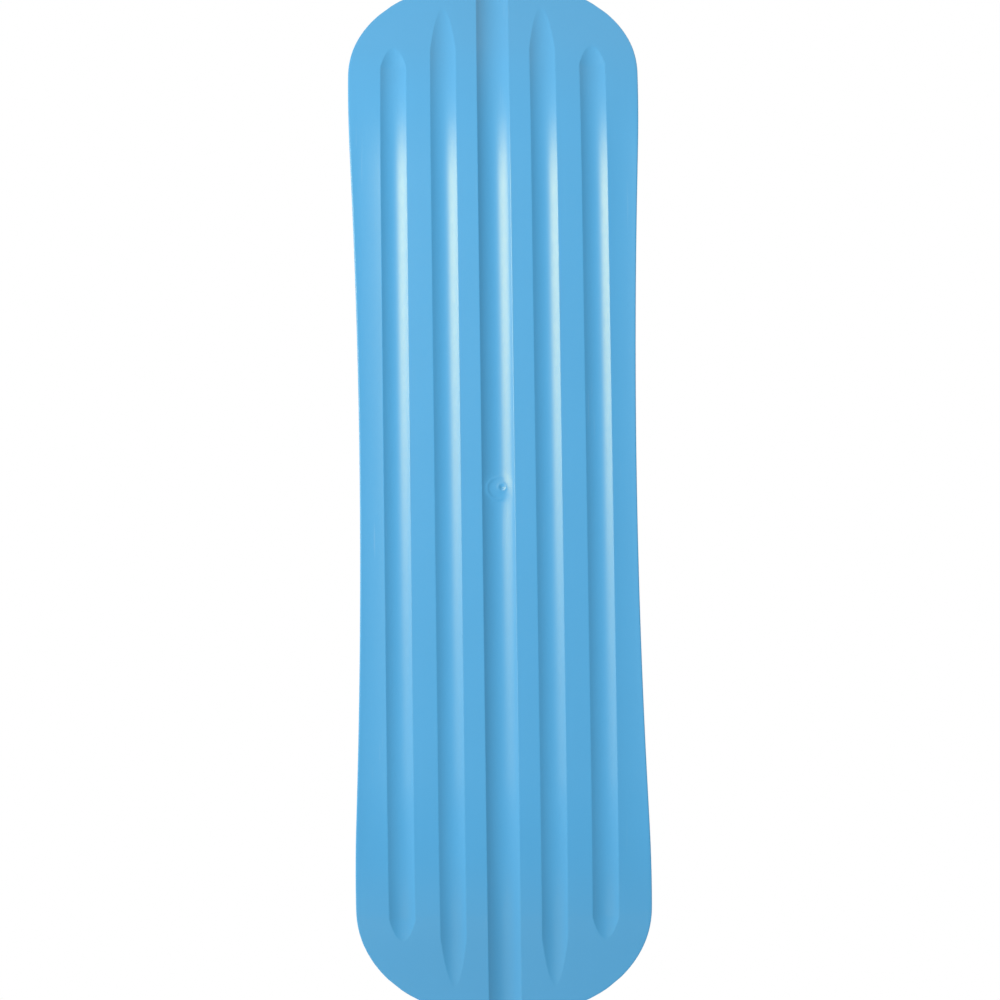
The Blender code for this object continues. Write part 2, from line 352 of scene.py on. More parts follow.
def running_base_tree(grooves):
    """Carves the five grooves into a flat board, and shapes the gate mark and the outer lands."""
    inputs = {**sockets_of(grooves), **floats("Half Waist", "Sidecut Radius", "Base Round")}
    tree, given, result = shape_tree("running_base", inputs)
    groove = groove_tree()
    place = wire(tree, "GeometryNodeInputPosition")
    x, y, height = apart(place)
    for rank in (-2, -1, 0, 1, 2):
        word = ("Centre", "Inner", "Outer")[abs(rank)]
        feeds = {
            "Height": height,
            "Position": place,
            "Offset": given["Pitch"] * float(rank),
            "Width": given["Side Width" if rank else "Centre Width"],
            "Radius": given["Radius"],
            "Tip": given[word + " Tip"],
            "Run Out": given[word + " Run Out"],
            "Lip": given["Lip"],
        }
        height = wire(tree, "GeometryNodeGroup", feeds, node_tree=groove)

    # The rest shapes the base alone: the gate mark, the outer lands' hollows, and waves along the board.
    under = height.math("LESS_THAN", BASE_BELOW)
    aside = x.math("ABSOLUTE") / given["Centre Width"]
    middle = under * ranged(aside, *GATE_FADE, 1.0, 0.0, smooth=True)
    height = height - gate_drop(place, x, given) * middle
    hollow, inside = outer_land(x, y, given)
    height = height + hollow * under
    waves = noise(scaled(place, WAVE_SCALE), 1.0, 1.0)
    height = waves * given["Waviness"] * (inside * under) + height
    return end_tree(tree, moved(tree, given["Geometry"], x, y, height), given, result)


def flat_distance(place, other):
    """How far a place lies from another, measured across the base."""
    feeds = {0: scaled(place, (1.0, 1.0, 0.0)), 1: other}
    return wire(place.tree, "ShaderNodeVectorMath", feeds, output="Value", operation="DISTANCE")


def gate_drop(place, x, given):
    """How far the gate mark hangs into the groove: a round swelling, a faint ring and a torn crater."""
    share = flat_distance(place, given["Gate Swelling Place"]) / given["Gate Swelling Radius"]
    ring = bell((share - GATE_RING_PLACE) / GATE_RING_WIDTH) * ranged(x, *GATE_RING_FADE, smooth=True)
    swelling = ring * GATE_RING_HEIGHT + bell(share) * given["Gate Swelling Height"]
    dip = flat_distance(place, given["Gate Crater Place"]) / given["Gate Crater Radius"]
    torn = (noise(place, GATE_TEAR_SCALE, 1.0) - 0.5) * GATE_TEAR_HEIGHT
    swelling = torn * ranged(dip, *GATE_TEAR_FADE, 1.0, 0.0, smooth=True) + swelling
    lip = bell((dip - CRATER_LIP_PLACE) / CRATER_LIP_WIDTH)
    swelling = lip * CRATER_LIP_HEIGHT + swelling
    return swelling - ranged(dip, 0.0, 1.0, 1.0, 0.0) * given["Gate Crater Depth"]


def outer_land(x, y, given):
    """How deep the hollow in each outer land is, and a mask that ends at the board's edge."""
    run, out = y.math("ABSOLUTE"), x.math("ABSOLUTE")
    sidecut = given["Sidecut Radius"]
    level = run.math("MINIMUM", given["Rail Fade Start"])
    bulge = sidecut - (sidecut.math("POWER", 2.0) - level * level).math("SQRT")
    edge = given["Half Waist"] + bulge - given["Base Round"]
    start = given["Side Width"] * 0.5 + given["Pitch"] * 2.0
    half = (edge - start) * 0.5
    aside = (out - (start + half)).math("ABSOLUTE")
    deep = (half.math("POWER", 2.0) - aside.math("POWER", 2.0)) / (given["Rail Hollow"] * 2.0)
    fade = ranged(run, given["Rail Fade Start"], given["Rail Fade End"], 1.0, 0.0, smooth=True)
    return deep.math("MAXIMUM", 0.0) * fade, ranged(edge - out, 0.0, LAND_EDGE, smooth=True)


def kicks_tree():
    """Presses a flat piece into the board's shape: flat, then two arcs, then straight to the tip."""
    inputs = floats("Rocker Start", "Rocker Radius", "Kick Start", "Kick Radius", "Kick Angle")
    tree, given, result = shape_tree("kicks", inputs)
    place = wire(tree, "GeometryNodeInputPosition")
    x, y, z = apart(place)
    run = y.math("ABSOLUTE")
    rocker, kick = given["Rocker Radius"], given["Kick Radius"]
    first_angle = (given["Kick Start"] - given["Rocker Start"]) / rocker
    last_angle = given["Kick Angle"] - first_angle
    gentle = ((run - given["Rocker Start"]).math("MAXIMUM", 0.0) / rocker).math("MINIMUM", first_angle)
    past = (run - given["Kick Start"]).math("MAXIMUM", 0.0)
    turn = (past / kick).math("MINIMUM", last_angle) + gentle
    straight = (past - kick * last_angle).math("MAXIMUM", 0.0)
    sine, cosine = turn.math("SINE"), turn.math("COSINE")
    gentle_sine, gentle_cosine = gentle.math("SINE"), gentle.math("COSINE")
    along = rocker * gentle_sine + run.math("MINIMUM", given["Rocker Start"])
    along = kick * (sine - gentle_sine) + along
    along = straight * cosine + along
    along = (along - z * sine) * y.math("SIGN")
    height = kick * (gentle_cosine - cosine) + rocker * (1.0 - gentle_cosine)
    height = straight * sine + height
    height = z * cosine + height
    feeds = {"Geometry": given["Geometry"], "Name": "blank", "Value": place}
    kept = wire(tree, "GeometryNodeStoreNamedAttribute", feeds, data_type="FLOAT_VECTOR", domain="POINT")
    return end_tree(tree, moved(tree, kept, x, along, height), given, result)


DIVISIONS = 8
BLOCK_HEIGHT = 0.004


def diamond_cuts_tree():
    """Cuts V-shaped cuts into a foam blank, in two crossing rows and inside the cut area."""
    inputs = {"Cut Area": "Object", "Cells": "Int"}
    inputs.update(floats("Cut Pitch", "Cut Angle", "Cut Depth", "Cut Share", "Top", "Middle"))
    tree, given, result = shape_tree("diamond_cuts", inputs)
    area = wire(tree, "GeometryNodeObjectInfo", {"Object": given["Cut Area"]}, output="Geometry")
    pitch, lean = given["Cut Pitch"], given["Cut Angle"]

    # A square sheet, one unit to a cell, is cut first and then leaned over into rows of diamonds.
    count = given["Cells"] * float(DIVISIONS) + 1.0
    feeds = {"Size X": given["Cells"], "Size Y": given["Cells"], "Vertices X": count, "Vertices Y": count}
    sheet = wire(tree, "GeometryNodeMeshGrid", feeds)
    u, v, _ = apart(wire(tree, "GeometryNodeInputPosition"))
    deep = [(1.0 - way.math("PINGPONG", 0.5) / given["Cut Share"]).math("MAXIMUM", 0.0) for way in (u, v)]
    side = pitch / (lean * 2.0).math("SINE")
    x = (u - v) * (side * lean.math("SINE"))
    y = (u + v) * (side * lean.math("COSINE"))
    height = given["Top"] - deep[0].math("MAXIMUM", deep[1]) * given["Cut Depth"]
    sheet = moved(tree, sheet, x, y + given["Middle"], height)

    # Cells well outside the cut area go, and the rest become the underside of a closed block.
    box = wires(tree, "GeometryNodeBoundBox", {"Geometry": area})
    outside = []
    place = apart(wire(tree, "GeometryNodeInputPosition"))
    for way, low, high in list(zip(place, apart(box["Min"]), apart(box["Max"])))[:2]:
        outside += [way.math("LESS_THAN", low - pitch), way.math("GREATER_THAN", high + pitch)]
    far = outside[0]
    for beside in outside[1:]:
        far = far.math("MAXIMUM", beside)
    sheet = wire(tree, "GeometryNodeDeleteGeometry", {"Geometry": sheet, "Selection": far}, domain="POINT")
    up = together(tree, 0.0, 0.0, BLOCK_HEIGHT)
    feeds = {"Mesh": sheet, "Offset": up, "Offset Scale": 1.0, "Individual": False}
    lifted = wire(tree, "GeometryNodeExtrudeMesh", feeds, mode="FACES")
    turned = wire(tree, "GeometryNodeFlipFaces", {"Mesh": sheet})
    both = wire(tree, "GeometryNodeJoinGeometry", {"Geometry": [lifted, turned]})
    block = wire(tree, "GeometryNodeMergeByDistance", {"Geometry": both, "Distance": WELD})

    feeds = {"Mesh 2": [block, area]}
    trimmed = wire(tree, "GeometryNodeMeshBoolean", feeds, operation="INTERSECT", solver="EXACT")
    feeds = {"Mesh 1": given["Geometry"], "Mesh 2": trimmed}
    carved = wire(tree, "GeometryNodeMeshBoolean", feeds, operation="DIFFERENCE", solver="EXACT")
    return end_tree(tree, carved, given, result)


def run_tree(item, tree, values):
    """Runs a tree on an object, with the tree's inputs set by name, and makes the result a plain mesh."""
    modifier = item.modifiers.new(tree.name, "NODES")
    modifier.node_group = tree
    for socket in tree.interface.items_tree:
        if socket.in_out == "INPUT" and socket.name in values:
            modifier[socket.identifier] = values[socket.name]
    bpy.context.view_layer.update()
    graph = bpy.context.evaluated_depsgraph_get()
    mesh = bpy.data.meshes.new_from_object(item.evaluated_get(graph))
    item.modifiers.remove(modifier)
    item.data = mesh
    mesh.name = item.name


def kick_end(board):
    """How far along the flat blank the last bend of each end stops."""
    first_angle = (board.kick_start - board.rocker_start) / board.rocker_radius
    return board.kick_start + board.kick_radius * (board.kick_angle - first_angle)


# Outline of the flat blank. A point on it is its x, its y and the angle of the edge's outward normal from +x.

def outline_arcs(board):
    """One quarter's arcs from waist to tip: centre, radius and the normal's angle where each ends.

    The waist's radius is below zero, because its centre lies outside the board.
    """
    waist_end = -math.asin(board.sidecut_end / board.sidecut_radius)
    waist = (board.half_waist + board.sidecut_radius, 0.0)
    shoulder = on_arc(waist, -board.sidecut_radius - board.shoulder_radius, waist_end)
    corner = on_arc(shoulder, board.shoulder_radius - board.corner_radius, 0.0)
    tip_radius = board.corner_radius + corner[0] / math.cos(board.corner_sweep)
    tip = on_arc(corner, board.corner_radius - tip_radius, board.corner_sweep)
    return [
        (waist, -board.sidecut_radius, waist_end),
        (shoulder, board.shoulder_radius, 0.0),
        (corner, board.corner_radius, board.corner_sweep),
        (tip, tip_radius, math.pi / 2),
    ]


def on_arc(centre, radius, turned):
    """The point of an arc where its normal has this angle."""
    return (centre[0] + radius * math.cos(turned), centre[1] + radius * math.sin(turned), turned)


def edge_at_run(arcs, margin, run):
    """The outline's point inside the edge by the margin, at this distance along the board."""
    for centre, radius, turned in arcs:
        if run <= centre[1] + (radius - margin) * math.sin(turned):
            break
    turned = math.asin((run - centre[1]) / (radius - margin))
    return (centre[0] + (radius - margin) * math.cos(turned), run, turned)


def edge_at_offset(arcs, margin, offset):
    """The outline's point on the corner or the tip, at this distance from the middle line."""
    for centre, radius, turned in arcs[:1:-1]:
        cosine = (offset - centre[0]) / (radius - margin)
        if math.acos(min(cosine, 1.0)) >= arcs[2][2]:
            break
    turned = math.acos(cosine)
    return (offset, centre[1] + (radius - margin) * math.sin(turned), turned)


def inset(point, distance):
    return on_arc(point, -distance, point[2])


SPREAD_SLACK = 0.001


def spread(start, end, step):
    """Evenly spaced values after the start and up to the end, no further apart than the step."""
    count = max(1, math.ceil((end - start) / step - SPREAD_SLACK))
    return [start + (end - start) * index / count for index in range(1, count + 1)]


def quarter_turn(count):
    return [math.pi / 2 * step / count for step in range(count + 1)]


# Deck

GATE_STEP = 0.0004
NEAR_GATE = 0.004
ROUND_GATE = 0.012
ROUND_GATE_STEP = 0.0005
FLAT_STEP = 0.007
ROCKER_STEP = 0.0035
KICK_STEP = 0.0022
RUN_OUT_STEP = 0.0012
RUN_OUT_SPAN = (1.5, 0.25)
FAN_ROWS = 26
FAN_TRIES = 4
LIP_REACH = 0.0005
LIP_STEPS = (-1.0, -0.5, 0.0, 0.5, 1.0)
LEAST_HALF_GROOVE = 0.0012
GROOVE_STEPS = 14
LAND_STEPS = (0.1, 0.3, 0.5, 0.7, 0.9)
BORDER_STEPS = (0.12, 0.25, 0.4, 0.55, 0.7, 0.82, 0.92, 0.97, 1.0)
RIM_STEPS = 6
NOTCH_HALF = 0.0003
DECK_RINGS = 4
SUPPORT = 0.0006
POCKET_LIP = 0.0003
POCKET_BEVEL = 0.3
CORNER_STEPS = 10


def half_groove(grooves, rank, run):
    """Half the width of a groove at this distance along the board, never quite nothing."""
    if rank == 0:
        return grooves.centre_width / 2
    tips = ((grooves.inner_tip, grooves.inner_run_out), (grooves.outer_tip, grooves.outer_run_out))
    tip, run_out = tips[rank - 1]
    half = grooves.side_width / 2
    full_depth = grooves.radius - math.sqrt(grooves.radius ** 2 - half ** 2)
    depth = full_depth * min(max((tip - run) / run_out, 0.0), 1.0)
    return max(math.sqrt(2 * grooves.radius * depth - depth ** 2), LEAST_HALF_GROOVE)


def columns_at(grooves, run):
    """Where the base's lengthwise lines lie, from the middle out, at this distance along the board."""
    half = half_groove(grooves, 0, run)
    columns = [0.0] + spread(0.0, NEAR_GATE, GATE_STEP)
    columns += spread(NEAR_GATE, half - LIP_REACH, ROUND_GATE_STEP)[:-1]
    columns += [half + LIP_REACH * step for step in LIP_STEPS]
    for rank in (1, 2):
        middle = rank * grooves.pitch
        half = half_groove(grooves, rank, run)
        land, next_land = columns[-1], middle - half - LIP_REACH
        columns += [land + (next_land - land) * step for step in LAND_STEPS]
        columns += [middle - half + LIP_REACH * step for step in LIP_STEPS]
        inner = half - LIP_REACH
        columns += [middle + inner * (2 * step / GROOVE_STEPS - 1) for step in range(1, GROOVE_STEPS)]
        columns += [middle + half + LIP_REACH * step for step in LIP_STEPS]
    columns.append(2 * grooves.pitch + grooves.side_width / 2 + 2 * LIP_REACH)
    return columns


def base_rows(board, grooves, pads):
    """Distances along the board of the base's crosswise lines, up to where the kicks run straight."""
    stops = (
        (NEAR_GATE, GATE_STEP),
        (ROUND_GATE, ROUND_GATE_STEP),
        (pocket_side_start(board, pads)[1], FLAT_STEP),
        (board.rocker_start, FLAT_STEP),
        (board.kick_start, ROCKER_STEP),
        (grooves.outer_tip - RUN_OUT_SPAN[0] * grooves.outer_run_out, KICK_STEP),
        (grooves.outer_tip + RUN_OUT_SPAN[1] * grooves.outer_run_out, RUN_OUT_STEP),
        (kick_end(board), KICK_STEP),
    )
    rows = [0.0]
    for end, step in stops:
        rows += spread(rows[-1], end, step)
    return rows


def pocket_side_start(board, pads):
    """The point at the rim's inner edge beside which a pocket's side begins, past its round corner."""
    (waist, radius, _) = outline_arcs(board)[0]
    turned = math.asin((pads.inner_end + pads.corner) / (radius - pads.margin - pads.corner))
    return on_arc(waist, radius - board.base_round, turned)


def base_quarter(board, grooves, pads):
    """The flat base of one quarter as rows of points, and the line of points along its edge."""
    arcs = outline_arcs(board)
    rows = base_rows(board, grooves, pads)
    last_row = rows[-1]
    fan_edge = columns_at(grooves, 0.0)[-1]
    grid = []
    edge = []
    for run in rows:
        grid.append([(x, run) for x in columns_at(grooves, run)] + border_points(arcs, board, fan_edge, run))
        edge.append(edge_at_run(arcs, board.base_round, run))
    for row in range(1, FAN_ROWS + 1):
        share = row / FAN_ROWS
        points = fan_points(arcs, board, grooves, last_row, share)
        grid.append(points + border_points(arcs, board, fan_edge, points[-1][1]))
        if row < FAN_ROWS:
            edge.append(edge_at_run(arcs, board.base_round, points[-1][1]))
    edge += [edge_at_offset(arcs, board.base_round, x) for x, _ in reversed(points)]
    return grid, edge


def fan_points(arcs, board, grooves, last_row, share):
    """One crosswise line, this share of the way from the last straight row to the curved end."""
    points = [(x, last_row) for x in columns_at(grooves, last_row)]
    for _ in range(FAN_TRIES):
        ends = [edge_at_offset(arcs, board.base_round, x)[1] for x, _ in points]
        reach = [last_row + share * (end - last_row) for end in ends]
        points = [(columns_at(grooves, run)[index], run) for index, run in enumerate(reach)]
    return points


def border_points(arcs, board, fan_edge, run):
    """The points of a crosswise line between the outermost groove and the board's edge."""
    edge = edge_at_run(arcs, board.base_round, run)[0]
    return [(fan_edge + (edge - fan_edge) * step, run) for step in BORDER_STEPS]


def rim_section(board, pads):
    """The rim from the base round to the deck, as margins inside the outline and heights."""
    low, high, top = board.base_round, board.deck_round, board.thickness
    turns = quarter_turn(RIM_STEPS)
    section = [(low - low * math.sin(turned), low - low * math.cos(turned)) for turned in turns]
    section += [(0.0, top / 2 - NOTCH_HALF), (board.parting_line, top / 2), (0.0, top / 2 + NOTCH_HALF)]
    section += [(high - high * math.cos(turned), top - high + high * math.sin(turned)) for turned in turns]
    inner = pads.margin - POCKET_LIP - SUPPORT
    section += [(high + SUPPORT, top)]
    section += [(margin, top) for margin in spread(high + SUPPORT, inner, (inner - high) / DECK_RINGS)]
    return section


def pocket_section(board, pads):
    """A pocket's edge down to its floor, as margins inside the pocket's outline and heights."""
    top, floor = board.thickness, board.thickness - pads.pocket_depth
    return [
        (-POCKET_LIP - SUPPORT, top),
        (-POCKET_LIP, top),
        (-POCKET_BEVEL * POCKET_LIP, top - POCKET_BEVEL * POCKET_LIP),
        (0.0, top - POCKET_LIP),
        (0.0, floor + POCKET_LIP / 2),
        (POCKET_LIP / 2, floor),
        (POCKET_LIP + SUPPORT, floor),
    ]


def pocket_quarter(board, pads, edge):
    """Half of a pocket's outline: its inner end and round corner, and then its side and outer end."""
    start = pocket_side_start(board, pads)
    sides = [inset(point, pads.margin - board.base_round) for point in edge if point[1] > start[1] - WELD]
    first = sides[0]
    middle = inset(first, pads.corner)
    corner = []
    for step in range(CORNER_STEPS, 0, -1):
        turned = first[2] - (math.pi / 2 + first[2]) * step / CORNER_STEPS
        corner.append(on_arc(middle, pads.corner, turned))
    return [(0.0, corner[0][1], -math.pi / 2)] + corner, sides


def add_faces(work, grid):
    """A sheet of quads through a grid of corners, given as rows of places."""
    corners = [[work.verts.new(place) for place in row] for row in grid]
    for row, next_row in zip(corners, corners[1:]):
        for index in range(len(row) - 1):
            work.faces.new((row[index], row[index + 1], next_row[index + 1], next_row[index]))
    return corners


def swept(points, section):
    """A section carried along an outline, as a grid of places."""
    return [[(*inset(point, margin)[:2], height) for margin, height in section] for point in points]


def mirrored(work, axis):
    """Adds the mirror image of everything across one axis's plane."""
    everything = work.verts[:] + work.edges[:] + work.faces[:]
    copy = bmesh.ops.duplicate(work, geom=everything)["geom"]
    scale = Vector((1.0, 1.0, 1.0))
    scale[axis] = -1.0
    bmesh.ops.scale(work, vec=scale, verts=[item for item in copy if isinstance(item, bmesh.types.BMVert)])
    bmesh.ops.reverse_faces(work, faces=[item for item in copy if isinstance(item, bmesh.types.BMFace)])
    bmesh.ops.remove_doubles(work, verts=work.verts[:], dist=WELD)


def pocket_floor(work, board, pads, sides, end):
    """The flat floor of a pocket's quarter, in strips across the kick so that it can bend."""
    floor = board.thickness - pads.pocket_depth
    margin = POCKET_LIP + SUPPORT
    line, first = [[inset(point, margin)[:2] for point in points] for points in (sides, end)]
    low = max(index for index, place in enumerate(line) if place[1] <= board.rocker_start)
    high = min(index for index, place in enumerate(line) if place[1] >= kick_end(board))
    flat = first + line[:low + 1] + [(0.0, line[low][1])]
    tip = [(0.0, line[high][1])] + line[high:]
    for outline in (flat, tip):
        work.faces.new([work.verts.new((x, y, floor)) for x, y in outline])
    add_faces(work, [[(0.0, y, floor), (x, y, floor)] for x, y in line[low:high + 1]])


def deck_blank(board, grooves, pads):
    """The board before its grooves and kicks: one quarter, mirrored twice."""
    grid, edge = base_quarter(board, grooves, pads)
    end, sides = pocket_quarter(board, pads, edge)
    work = bmesh.new()
    add_faces(work, [[(x, y, 0.0) for x, y in row] for row in grid])
    rim = swept(edge, [(margin - board.base_round, height) for margin, height in rim_section(board, pads)])
    add_faces(work, rim)
    section = pocket_section(board, pads)
    add_faces(work, swept(sides, section))
    add_faces(work, swept(end + sides[:1], section))
    pocket_floor(work, board, pads, sides, end)

    # The bare deck between the pockets is one flat face a quarter.
    start = len(edge) - len(sides)
    outer = [rim[index][-1] for index in range(start + 1)]
    inner = [row[0] for row in swept(end, section)]
    outline = [(0.0, 0.0, board.thickness)] + outer + list(reversed(inner))
    work.faces.new([work.verts.new(place) for place in outline])

    bmesh.ops.remove_doubles(work, verts=work.verts[:], dist=WELD)
    mirrored(work, 0)
    mirrored(work, 1)
    bmesh.ops.dissolve_degenerate(work, edges=work.edges[:], dist=WELD)
    bmesh.ops.recalc_face_normals(work, faces=work.faces[:])
    split_large_faces(work)
    return object_from(work, "moulded_board")


def split_large_faces(work):
    """Cuts every face with more than four corners into triangles."""
    bmesh.ops.triangulate(work, faces=[face for face in work.faces if len(face.verts) > 4])


def new_object(name, data):
    item = bpy.data.objects.new(name, data)
    bpy.context.scene.collection.objects.link(item)
    return item


def object_from(work, name):
    """Ends the work on a mesh and gives it an object."""
    mesh = bpy.data.meshes.new(name)
    work.to_mesh(mesh)
    work.free()
    return new_object(name, mesh)


def finish_piece(item, slot, *nodes):
    """Puts a finished piece on the board's body in place of its CAD nodes."""
    item.data.shade_smooth()
    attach(item, BODY)
    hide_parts(*nodes)
    low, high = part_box(nodes[0])
    for axis in range(3):
        reach = [corner[axis] for corner in item.bound_box]
        if min(reach) < low[axis] - SIZE_SLACK or max(reach) > high[axis] + SIZE_SLACK:
            raise RuntimeError(f"{item.name} stands outside its CAD node on axis {axis}")


class SNOWSKATE_OT_deck(bpy.types.Operator):
    """Make the moulded board with its grooves, gate mark, rim and pad pockets"""

    bl_idname = "snowskate.deck"
    bl_label = "Moulded Board"

    def execute(self, context):
        board, grooves, pads = sizes()
        material = board_material(board)
        item = deck_blank(board, grooves, pads)
        values = {**named(board), **named(grooves), "Material": material}
        run_tree(item, running_base_tree(grooves), values)
        run_tree(item, kicks_tree(), values)
        finish_piece(item, "board_plastic", "deck")
        return {"FINISHED"}


# Grip pads

PAD_EDGE_STEPS = 4
AREA_OVERLAP = 0.003
SCORE_STEP = 0.0035
CELL_DROP = 0.00008
# Moves the cuts a little along the pad, so that none of them meets the outline's points.
CUT_SHIFT = 0.0013
SHARP_FROM = math.radians(28)


def full_loop(quarter):
    """A closed outline from the half at +x, which starts and ends on the middle line."""
    return quarter + [(-x, y, math.pi - turned) for x, y, turned in reversed(quarter[1:-1])]


def solid_from(name, loop, section):
    """A closed solid: a section carried round a loop, with flat caps over its two ends."""
    work = bmesh.new()
    grid = swept(loop, section)
    corners = add_faces(work, grid + grid[:1])
    for row in (0, -1):
        work.faces.new([line[row] for line in corners[:-1]])
    bmesh.ops.remove_doubles(work, verts=work.verts[:], dist=WELD)
    bmesh.ops.recalc_face_normals(work, faces=work.faces[:])
    return object_from(work, name)


def scored(mesh, board):
    """Scores a flat piece across at even steps, so that its large faces can bend at the nose."""
    work = bmesh.new()
    work.from_mesh(mesh)
    for run in [board.rocker_start] + spread(board.rocker_start, kick_end(board), SCORE_STEP):
        everything = work.verts[:] + work.edges[:] + work.faces[:]
        place = (0.0, run, 0.0)
        way = (0.0, 1.0, 0.0)
        bmesh.ops.bisect_plane(work, geom=everything, dist=WELD, plane_co=place, plane_no=way)
    split_large_faces(work)
    work.to_mesh(mesh)
    work.free()


class SNOWSKATE_OT_grip_pads(bpy.types.Operator):
    """Make the two diamond-cut foam pads that lie in the deck's pockets"""

    bl_idname = "snowskate.grip_pads"
    bl_label = "Grip Pads"

    def execute(self, context):
        board, grooves, pads = sizes()
        edge = base_quarter(board, grooves, pads)[1]
        end, sides = pocket_quarter(board, pads, edge)
        loop = full_loop(end + sides)
        top = pads.bottom + pads.thickness
        section = [(pads.clearance, pads.bottom)]
        for turned in quarter_turn(PAD_EDGE_STEPS):
            margin = pads.clearance + pads.edge_round * (1 - math.cos(turned))
            section.append((margin, top - pads.edge_round * (1 - math.sin(turned))))
        nose = solid_from("nose_foam_pad", loop, section)
        inner = pads.clearance + pads.border
        section = [(inner, pads.bottom - AREA_OVERLAP), (inner, top + AREA_OVERLAP)]
        area = solid_from("cut_area", loop, section)
        values = {
            **named(board),
            **named(pads),
            "Cut Area": area,
            "Top": top - CELL_DROP,
            "Middle": (end[0][1] + sides[-1][1]) / 2 + CUT_SHIFT,
            "Material": foam_material(top),
        }
        run_tree(nose, diamond_cuts_tree(), values)
        bpy.data.objects.remove(area)
        scored(nose.data, board)
        run_tree(nose, bpy.data.node_groups["kicks"], values)
        tail = new_object("tail_foam_pad", nose.data.copy())
        tail.data.transform(Matrix.Rotation(math.pi, 4, "Z"))
        for item, node in ((nose, "nose_grip_pad"), (tail, "tail_grip_pad")):
            finish_piece(item, "pad_foam", node)
            item.data.set_sharp_from_angle(angle=SHARP_FROM)
        return {"FINISHED"}


class SNOWSKATE_OT_adhesive(bpy.types.Operator):
    """Give the adhesive sheets under the pads their finish"""

    bl_idname = "snowskate.adhesive"
    bl_label = "Pad Adhesive"

    def execute(self, context):
        material = film_material()
        for name in ("nose_pad_adhesive", "tail_pad_adhesive"):
            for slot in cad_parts[name].material_slots:
                slot.material = material
        return {"FINISHED"}


# Materials

def new_material(name):
    material = bpy.data.materials.new(name)
    material.use_nodes = True
    return material, material.node_tree, material.node_tree.nodes["Principled BSDF"]


def feed(shader, name, value):
    shader.id_data.links.new(value.socket, shader.inputs[name])


def bumped(shader, height, strength, distance):
    """Feeds a height to the shader's normal."""
    feeds = {"Height": height, "Strength": strength, "Distance": distance}
    feed(shader, "Normal", wire(height.tree, "ShaderNodeBump", feeds))


SOCKET_KINDS = {Wire: "Vector", tuple: "Color", float: "Float"}


def group_outputs(name, feeds, outputs, build):
    """What a shader node group puts out here. The group is built when it is first asked for."""
    group = bpy.data.node_groups.get(name)
    if group is None:
        inputs = {socket: SOCKET_KINDS[type(value)] for socket, value in feeds.items()}
        group, given, result = new_tree(name, "ShaderNodeTree", inputs, outputs)
        for output, value in build(given).items():
            group.links.new(value.socket, result[output])
    return wires(feeds["Vector"].tree, "ShaderNodeGroup", feeds, node_tree=group)


def mottled(place, tint, scale, amount):
    """A colour with soft clouds in it, as pigment and skin leave them, and the clouds themselves."""

    def build(given):
        clouds = noise(given["Vector"], given["Scale"], 4.0, 0.55)
        value = (clouds - 0.5) * given["Amount"] + 1.0
        feeds = {"Value": value, "Color": given["Color"]}
        return {"Color": wire(value.tree, "ShaderNodeHueSaturation", feeds), "Clouds": clouds}

    feeds = {"Vector": place, "Color": (*tint, 1.0), "Scale": scale, "Amount": amount}
    return group_outputs("mottle", feeds, {"Color": "Color", "Clouds": "Float"}, build)


def pores(place, scale, cells):
    """Height of a fine skin: small cells with a finer noise over them."""

    def build(given):
        feeds = {"Vector": given["Vector"], "Scale": given["Scale"]}
        spots = wire(given["Vector"].tree, "ShaderNodeTexVoronoi", feeds, feature="F1")
        return {"Height": spots * given["Cells"] + noise(given["Vector"], given["Scale"] * 0.45, 3.0)}

    feeds = {"Vector": place, "Scale": scale, "Cells": cells}
    return group_outputs("pores", feeds, floats("Height"), build)["Height"]


def scuffed(place, scale):
    """Where thin scuffs run along the board: 0 for none, 1 for the middle of one."""

    def build(given):
        feeds = {"Vector": given["Vector"], "Scale": (1.0, 0.02, 1.0), "Rotation": (0.0, 0.0, 0.05)}
        stretched = wire(given["Vector"].tree, "ShaderNodeMapping", feeds)
        thin = ranged(noise(stretched, given["Scale"]), 0.66, 0.74, smooth=True)
        some = ranged(noise(given["Vector"], 14.0, 1.0), 0.5, 0.7, smooth=True)
        return {"Scuffs": thin * some}

    feeds = {"Vector": place, "Scale": scale}
    return group_outputs("scuffs", feeds, floats("Scuffs"), build)["Scuffs"]


def blank_place(tree):
    """The point's place in the flat blank."""
    return wire(tree, "ShaderNodeAttribute", output="Vector", attribute_name="blank")


SCUFF_BLUE = (0.45, 0.66, 0.85, 1.0)
SCUFF_SHARE = 0.10
BOUNCED_BLUE = (0.02, 0.03, 0.04, 1.0)
FAINT_BOUNCE = 0.8
GRAIN_DEPTHS = (0.0016, 0.0006)
BASE_ROUGHNESS = (0.32, 0.36)
DECK_ROUGHER = 0.14
SCUFFS_ROUGHER = 0.08
ORANGE_PEEL = 0.10
SCUFF_DEPTH = -0.15
SHEEN = (1.0, 0.79, 0.10, 1.0)
FOAM_SPECKLE = (0.10, 0.105, 0.11, 1.0)
OPEN_CELLS = (0.055, 0.058, 0.063, 1.0)
OPEN_SHARE = 0.20
SKIN_DEPTHS = (0.0011, 0.0003)
CLOUDS = (0.3, 0.7)


